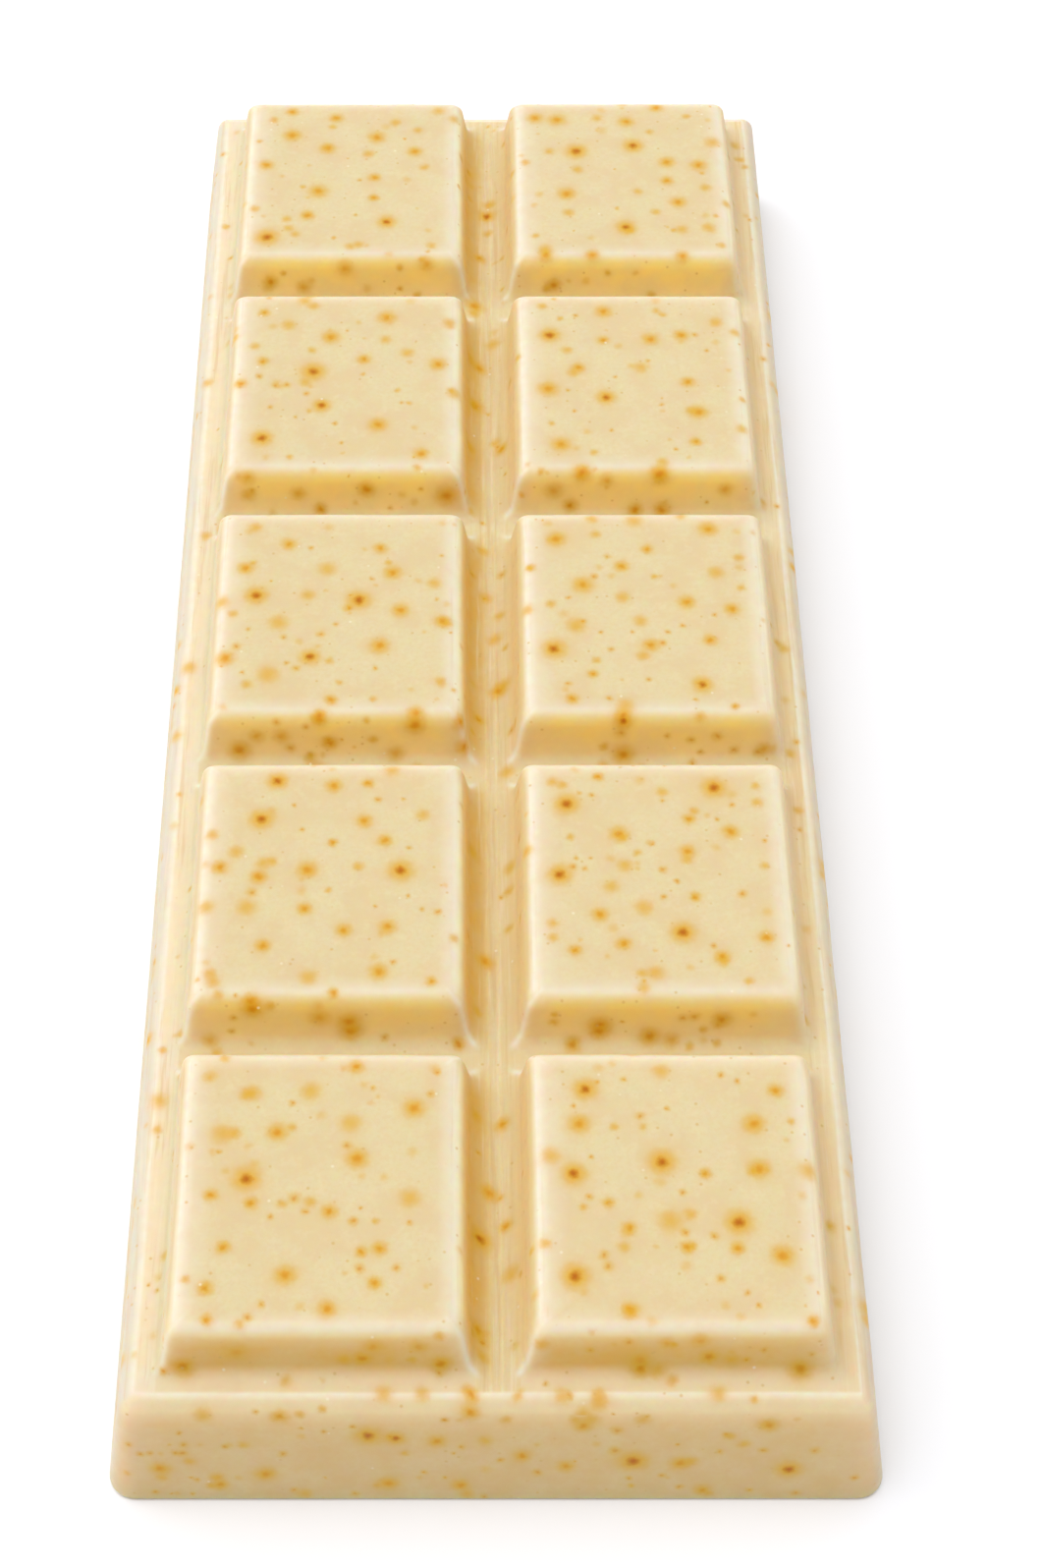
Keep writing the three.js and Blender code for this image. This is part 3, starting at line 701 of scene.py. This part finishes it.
# More are scattered at random, by area, where the photograph hides them or they are small.
BACK_BELOW = 1e-6
HIDDEN_BELOW = SLAB_HEIGHT - 0.5
LEDGE_BELOW = SLAB_HEIGHT + 2
corners = vertices[faces]
diagonals = np.cross(corners[:, 2] - corners[:, 0], corners[:, 3] - corners[:, 1])
area = np.linalg.norm(diagonals, axis=1) / 2
middle = corners.mean(axis=1)
back = middle[:, 2] < BACK_BELOW
hidden = (middle[:, 2] < HIDDEN_BELOW) & (middle[:, 1] > -patch_y) & ~back
ledge = (middle[:, 2] < LEDGE_BELOW) & ~hidden & ~back
# how many, where, their look, and their smallest and largest size
SCATTERED = (
    (90, hidden, AMBER, 0.6, 1.0), (16, hidden, DARK, 0.8, 1.0), (110, hidden, YELLOW, 0.5, 1.0),
    (150, hidden, DOT, 0.4, 1.0), (60, ledge, YELLOW, 0.5, 0.9), (50, ledge, DOT, 0.5, 0.9),
    (120, ~back, DOT, 0.3, 0.5), (420, ~back, FAINT, 0.4, 1.0), (260, ~back, YELLOW, 0.3, 0.7),
    (24, back, DARK, 0.8, 1.0), (130, back, AMBER, 0.6, 1.0), (130, back, YELLOW, 0.5, 1.0),
    (160, back, DOT, 0.4, 1.0))
for count, where, look, smallest, largest in SCATTERED:
    chance = area * where
    drawn = RNG.choice(len(area), count, p=chance / chance.sum())
    for place, size in zip(middle[drawn], RNG.uniform(smallest, largest, count)):
        specks.append((*place, size, look))

CHANNEL_REACH = 2.4
SMEAR = 0.45


def smeared(places):
    """Specks run down the channel's walls: the length is sheared by the distance across."""
    places = np.array(places, float)
    places[:, 1] -= SMEAR * np.minimum(np.abs(places[:, 0]), CHANNEL_REACH)
    return places


# every face is told its nearest specks, counted in reaches; the last face has none of its own
NEAREST = 3
BATCHES = 60
speck_place = smeared([(x, y, z) for x, y, z, size, look in specks])
speck_look = np.array([(look[0] * size, *look[1:]) for x, y, z, size, look in specks])
nearest = []
for part in np.array_split(smeared(middle), BATCHES):
    gap = sum((part[:, None, k] - speck_place[None, :, k]) ** 2 for k in range(3))
    gap = gap / speck_look[:, 0] ** 2
    near = np.argpartition(gap, NEAREST, axis=1)[:, :NEAREST]
    order = np.argsort(np.take_along_axis(gap, near, axis=1), axis=1)
    nearest.append(np.take_along_axis(near, order, axis=1))
nearest = np.concatenate([*nearest, np.zeros((1, NEAREST), int)])
for k in range(NEAREST):
    attribute(f"speck_place_{k}", "FLOAT_VECTOR", "FACE", speck_place[nearest[:, k]])
    attribute(f"speck_look_{k}", "FLOAT_VECTOR", "FACE", speck_look[nearest[:, k]])
print("specks:", len(specks))


# ------------------------------------------------------------------ material
class Nodes:
    """Short ways of making and joining shader nodes."""

    def __init__(self, material):
        material.use_nodes = True
        self.tree = material.node_tree
        self.shader = self.tree.nodes["Principled BSDF"]

    def put(self, socket, value):
        if isinstance(value, bpy.types.NodeSocket):
            self.tree.links.new(value, socket)
        else:
            socket.default_value = value

    def make(self, kind, inputs=(), **settings):
        node = self.tree.nodes.new(kind)
        for name, value in settings.items():
            setattr(node, name, value)
        for key, value in dict(inputs).items():
            self.put(node.inputs[key], value)
        return node

    def math(self, operation, a, b=0.0):
        return self.make("ShaderNodeMath", {0: a, 1: b}, operation=operation).outputs[0]

    def vector(self, operation, a, b):
        return self.make("ShaderNodeVectorMath", {0: a, 1: b}, operation=operation).outputs[0]

    def fade(self, value, start, end, low=0.0, high=1.0):
        """A smooth step of value from start to end, between low and high."""
        node = self.make("ShaderNodeMapRange", {"Value": value, "From Min": start, "From Max": end,
                                                "To Min": low, "To Max": high},
                         interpolation_type="SMOOTHSTEP")
        return node.outputs["Result"]

    def noise(self, place, scale, detail=2.0, rough=0.5, output="Fac"):
        return self.make("ShaderNodeTexNoise", {"Vector": place, "Scale": scale, "Detail": detail,
                                                "Roughness": rough}).outputs[output]

    def mix(self, share, a, b):
        node = self.make("ShaderNodeMix", data_type="RGBA")
        for socket, value in ((node.inputs[0], share), (node.inputs[6], a), (node.inputs[7], b)):
            self.put(socket, value)
        return node.outputs[2]

    def named(self, name, output):
        return self.make("ShaderNodeAttribute", attribute_name=name).outputs[output]


# Linear colours.
CREAM, TAN, PALE_CREAM = (0.70, 0.595, 0.36, 1), (0.69, 0.545, 0.315, 1), (0.735, 0.645, 0.415, 1)
# the second colour here is the white of painted highlights
WARM, HIGHLIGHT_WHITE = (0.69, 0.55, 0.305, 1), (0.765, 0.735, 0.64, 1)
STREAK_TAN, STREAK_PALE = (0.62, 0.42, 0.18, 1), (0.80, 0.71, 0.53, 1)
HALO, RING = (0.67, 0.42, 0.08, 1), (0.68, 0.375, 0.001, 1)
HEART, DARKEST_HEART = (0.74, 0.22, 0.0, 1), (0.41, 0.055, 0.0, 1)
# the second of these is the white of painted glints
GOLDEN_DUST, GLINT_WHITE = (0.62, 0.40, 0.12, 1), (0.82, 0.78, 0.64, 1)
# Mottling over the cream: its noise's scale and roughness, where it starts and is full, share, colour.
MOTTLING = (
    (0.33, 0.5, 0.42, 0.62, 0.8, TAN), (1.1, 0.5, 0.5, 0.7, 0.35, PALE_CREAM),
    (2.6, 0.6, 0.4, 0.68, 0.5, WARM))
# Streaks, dark and pale: where each starts and is full in a drawn-out noise, and its colour.
STREAKS = ((0.48, 0.34, STREAK_TAN), (0.54, 0.7, STREAK_PALE))
STREAK_LENGTH = (1.0, 0.045, 1.0)  # scale of the place, so that the noise is long in y
STREAK_SHARE = 0.5
NOISE_SPAN = (0.3, 0.7)  # a noise's values lie mostly between these
PATCHY = (0.75, 1.0)  # the painted highlight's share is multiplied by a noise between these
UNEVEN = (0.7, 1.0)  # and the share of the painted shade and light
# A speck's parts: where each is full and where it ends, in reaches, and its share where it is full.
HALO_FADE, RING_FADE, HEART_FADE = (0.3, 1.6, 0.32), (0.02, 1.05, 1.0), (0.0, 0.42, 0.75)
SPECK_WARP = 0.42
# Dust and painted glints: scale of its cells, size of a dot, share of the cells that have one, and colour.
DUST_AND_GLINTS = ((1.15, 0.2, 0.3, GOLDEN_DUST), (0.75, 0.12, 0.15, GLINT_WHITE))
DOT_SHARE = 0.6
DOT_CORE = 0.2  # of a dot's size
# The surface.
ROUGHNESS = (0.34, 0.46)
STREAK_ROUGHNESS = 0.25
SUBSURFACE_RADIUS = (2.0, 0.9, 0.3)
SUBSURFACE_SCALE = 1.2 * MM
SPECULAR_LEVEL = 0.2
RIPPLE_HEIGHT, GRAIN_HEIGHT, STREAK_HEIGHT = 0.6, 0.06, 0.5  # parts of the bump's height
BUMP_STRENGTH = 0.35
BUMP_HEIGHT = 0.12 * MM


def white_chocolate():
    """The one material: speckled, mottled cream with painted shade and painted highlights, read from the
    place and the mesh's attributes.
    """
    material = bpy.data.materials.new("white_chocolate")
    n = Nodes(material)
    place = n.vector("MULTIPLY", n.make("ShaderNodeTexCoord").outputs["Object"], (1 / MM,) * 3)

    colour = CREAM
    for scale, rough, start, end, share, stain in MOTTLING:
        colour = n.mix(n.fade(n.noise(place, scale, 3, rough), start, end, 0, share), colour, stain)

    # painted highlights whiten the edges, painted shade turns it golden where little light gets in, and it
    # is streaked along the length
    streak = n.noise(n.vector("MULTIPLY", place, STREAK_LENGTH), 2.6, 3, 0.6)
    patchy = n.fade(n.noise(place, 1.3, 2), *NOISE_SPAN, *PATCHY)
    colour = n.mix(n.math("MULTIPLY", n.named("painted_highlight", "Fac"), patchy), colour, HIGHLIGHT_WHITE)
    uneven = n.fade(n.noise(place, 0.5, 3), *NOISE_SPAN, *UNEVEN)
    painted_light_tint_here = n.math("MULTIPLY", n.named("painted_light_tint", "Fac"), uneven)
    colour = n.mix(painted_light_tint_here, colour, n.named("painted_light_tone", "Vector"))
    streaked_here = n.named("streaked", "Fac")
    for start, end, stain in STREAKS:
        share = n.math("MULTIPLY", streaked_here, n.fade(streak, start, end, 0, STREAK_SHARE))
        colour = n.mix(share, colour, stain)

    # specks: each face knows its nearest; the place is sheared as theirs are, and warped a little
    across, along, up = n.make("ShaderNodeSeparateXYZ", {0: place}).outputs
    run = n.math("MULTIPLY", n.math("MINIMUM", n.math("ABSOLUTE", across), CHANNEL_REACH), SMEAR)
    sheared = n.make("ShaderNodeCombineXYZ",
                     {0: across, 1: n.math("SUBTRACT", along, run), 2: up}).outputs[0]
    shift = n.vector("SUBTRACT", n.noise(place, 1.7, 3, 0.65, "Color"), (0.5,) * 3)
    sheared = n.vector("ADD", sheared, n.vector("MULTIPLY", shift, (SPECK_WARP,) * 3))
    for k in reversed(range(NEAREST)):
        centre = n.named(f"speck_place_{k}", "Vector")
        reach, core, ring_share = n.make(
            "ShaderNodeSeparateXYZ", {0: n.named(f"speck_look_{k}", "Vector")}).outputs
        gap = n.make("ShaderNodeVectorMath", {0: sheared, 1: centre}, operation="DISTANCE")
        gap = n.math("DIVIDE", gap.outputs["Value"], reach)
        colour = n.mix(n.math("MULTIPLY", n.fade(gap, *HALO_FADE, 0), ring_share), colour, HALO)
        colour = n.mix(n.math("MULTIPLY", n.fade(gap, *RING_FADE, 0), ring_share), colour, RING)
        heart = n.math("MULTIPLY", n.fade(gap, *HEART_FADE, 0), core)
        colour = n.mix(heart, colour, n.mix(core, HEART, DARKEST_HEART))

    # dust: tiny golden dots, and a few tiny white dots that are painted glints
    for scale, size, share, dot_colour in DUST_AND_GLINTS:
        cells = n.make("ShaderNodeTexVoronoi", {"Vector": place, "Scale": scale})
        chance_here = n.make("ShaderNodeSeparateColor", {0: cells.outputs["Color"]}).outputs[0]
        dot = n.fade(cells.outputs["Distance"], size * DOT_CORE, size, DOT_SHARE, 0)
        dot = n.math("MULTIPLY", dot, n.math("LESS_THAN", chance_here, share))
        colour = n.mix(dot, colour, dot_colour)
    n.put(n.shader.inputs["Base Color"], colour)

    # surface: a soft gloss, slightly uneven
    gloss = n.fade(n.noise(place, 1.5, 3), *NOISE_SPAN, *ROUGHNESS)
    rougher = n.math("MULTIPLY", streaked_here, STREAK_ROUGHNESS)
    n.put(n.shader.inputs["Roughness"], n.math("ADD", gloss, rougher))
    n.shader.inputs["Subsurface Weight"].default_value = 1.0
    n.shader.inputs["Subsurface Radius"].default_value = SUBSURFACE_RADIUS
    n.shader.inputs["Subsurface Scale"].default_value = SUBSURFACE_SCALE
    n.shader.inputs["Specular IOR Level"].default_value = SPECULAR_LEVEL
    ripple = n.math("MULTIPLY", n.noise(place, 0.9, 2), RIPPLE_HEIGHT)
    grain = n.math("MULTIPLY", n.noise(place, 6.0, 3, 0.6), GRAIN_HEIGHT)
    lines = n.math("MULTIPLY", streaked_here, n.math("MULTIPLY", streak, STREAK_HEIGHT))
    height = n.math("ADD", ripple, n.math("ADD", grain, lines))
    bump = n.make("ShaderNodeBump",
                  {"Strength": BUMP_STRENGTH, "Distance": BUMP_HEIGHT, "Height": height})
    n.put(n.shader.inputs["Normal"], bump.outputs["Normal"])
    return material


mesh.materials.append(white_chocolate())
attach(bar, "root")
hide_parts("chocolate_bar")

# ------------------------------------------------------------------ floor
FLOOR = 4.0  # from its middle to its sides, in metres
FLOOR_COLOUR = (0.91, 0.915, 0.95, 1)
FLOOR_ROUGHNESS = 0.9
floor_mesh = bpy.data.meshes.new("floor")
floor_mesh.from_pydata([(-FLOOR, -FLOOR, 0), (FLOOR, -FLOOR, 0), (FLOOR, FLOOR, 0), (-FLOOR, FLOOR, 0)],
                       [], [(0, 1, 2, 3)])
floor = bpy.data.objects.new("floor", floor_mesh)
bpy.context.scene.collection.objects.link(floor)
floor_material = bpy.data.materials.new("floor")
floor_material.use_nodes = True
floor_shader = floor_material.node_tree.nodes["Principled BSDF"]
floor_shader.inputs["Base Color"].default_value = FLOOR_COLOUR
floor_shader.inputs["Roughness"].default_value = FLOOR_ROUGHNESS
floor_shader.inputs["Specular IOR Level"].default_value = 0.0
floor_mesh.materials.append(floor_material)

# ------------------------------------------------------------------ light
# The studio's soft light comes from all round, and more from the far left and above.
LIGHT_FROM = (-0.5, 0.45, 0.74)
LIGHT_LEAN = 0.95
LIGHT_LEVEL = 0.56
world = bpy.data.worlds.new("studio")
world.use_nodes = True
tree = world.node_tree
direction = tree.nodes.new("ShaderNodeTexCoord")
lean = tree.nodes.new("ShaderNodeVectorMath")
lean.operation = "DOT_PRODUCT"
lean.inputs[1].default_value = LIGHT_FROM
tree.links.new(direction.outputs["Generated"], lean.inputs[0])
level = tree.nodes.new("ShaderNodeMath")
level.operation = "MULTIPLY_ADD"
level.inputs[1].default_value = LIGHT_LEVEL * LIGHT_LEAN
level.inputs[2].default_value = LIGHT_LEVEL
tree.links.new(lean.outputs["Value"], level.inputs[0])
tree.links.new(level.outputs[0], tree.nodes["Background"].inputs["Strength"])
tree.nodes["Background"].inputs["Color"].default_value = (1, 1, 1, 1)
bpy.context.scene.world = world


def softbox(name, azimuth, elevation, strength, angle):
    """A far, soft light. Azimuth 0 is the camera's side, 90 the bar's right."""
    lamp = bpy.data.lights.new(name, "SUN")
    lamp.energy = strength
    lamp.angle = math.radians(angle)
    holder = bpy.data.objects.new(name, lamp)
    holder.rotation_euler = (math.radians(90 - elevation), 0, math.radians(azimuth))
    bpy.context.scene.collection.objects.link(holder)


softbox("overhead", azimuth=-60, elevation=84, strength=1.1, angle=40)
softbox("left", azimuth=-110, elevation=50, strength=0.25, angle=30)

# ------------------------------------------------------------------ camera
# fitted to the photograph; the shift frames the bar as it does
LENS = 68.94
SENSOR_WIDTH = 36.0
SHIFT_X = 0.0398
NEAR_CLIP = 0.01
CAMERA_PLACE = (-2.48, -151.83, 180.16)  # mm
CAMERA_DOWN = 50.843  # degrees below the level
CAMERA_TURN = -0.027  # degrees
camera_data = bpy.data.cameras.new("camera")
camera_data.lens = LENS
camera_data.sensor_fit = "AUTO"
camera_data.sensor_width = SENSOR_WIDTH
camera_data.shift_x = SHIFT_X
camera_data.clip_start = NEAR_CLIP
camera = bpy.data.objects.new("camera", camera_data)
camera.location = [value * MM for value in CAMERA_PLACE]
camera.rotation_euler = (math.radians(90 - CAMERA_DOWN), 0, math.radians(CAMERA_TURN))
bpy.context.scene.collection.objects.link(camera)
bpy.context.scene.camera = camera
bpy.context.scene.view_settings.view_transform = "Standard"
